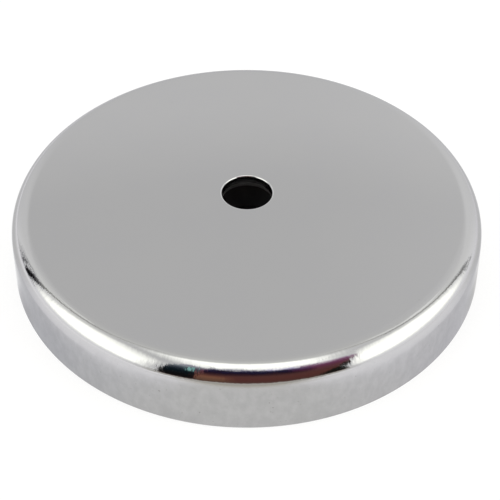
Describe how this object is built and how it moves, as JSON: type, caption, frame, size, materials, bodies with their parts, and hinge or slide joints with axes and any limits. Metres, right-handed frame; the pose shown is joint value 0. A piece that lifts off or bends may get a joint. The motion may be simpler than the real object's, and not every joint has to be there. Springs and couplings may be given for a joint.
{
  "type": "pot magnet",
  "caption": "Round, shallow pot magnet: a drawn and plated steel cup with a ferrite ring bonded inside and a bolt hole through its back.",
  "frame": {"origin": "centre of the holding face, in the plane of the cup's open rim", "axes": "+Z along the cup's axis, out of its closed back; X and Y are any two directions across it, because it is round"},
  "size_m": [0.0812, 0.0812, 0.0111],
  "materials": {
    "bright_plating": "polished",
    "ferrite": "matte",
    "epoxy": "gloss"
  },
  "bodies": {
    "root": {"steel_cup": "bright_plating", "ring_magnet": "ferrite", "adhesive_bond": "epoxy"}
  },
  "joints": []
}
